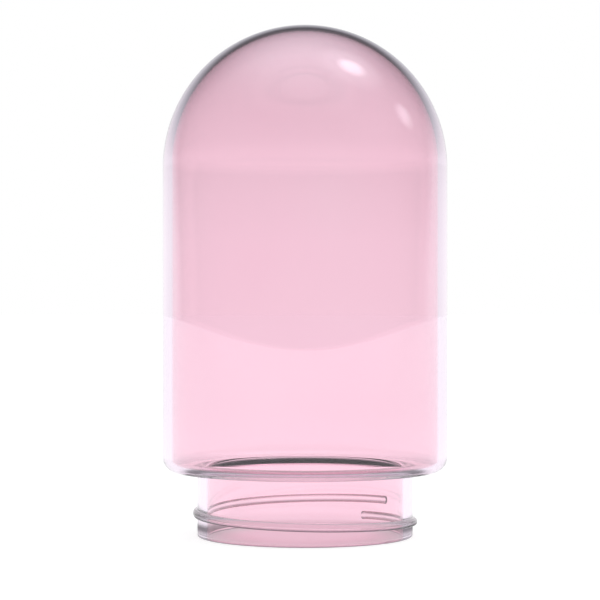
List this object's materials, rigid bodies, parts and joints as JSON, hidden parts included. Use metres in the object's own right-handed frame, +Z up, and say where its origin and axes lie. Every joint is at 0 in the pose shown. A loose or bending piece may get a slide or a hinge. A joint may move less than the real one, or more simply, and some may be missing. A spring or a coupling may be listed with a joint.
{
  "type": "screw-neck glass dome shade",
  "caption": "Clear pink glass shade with a round crown and straight barrel, open at a narrower neck whose moulded bead thread screws into a lamp holder.",
  "frame": {"origin": "centre of the neck rim, on the plane the glass stands on", "axes": "+Z up along the axis of the glass, towards the crown; -Y towards the side the picture shows"},
  "size_m": [0.107, 0.107, 0.192],
  "materials": {
    "glass": "clear gloss"
  },
  "bodies": {
    "root": {"crown": "glass", "barrel": "glass", "shoulder": "glass", "neck": "glass", "thread": "glass"}
  },
  "joints": []
}
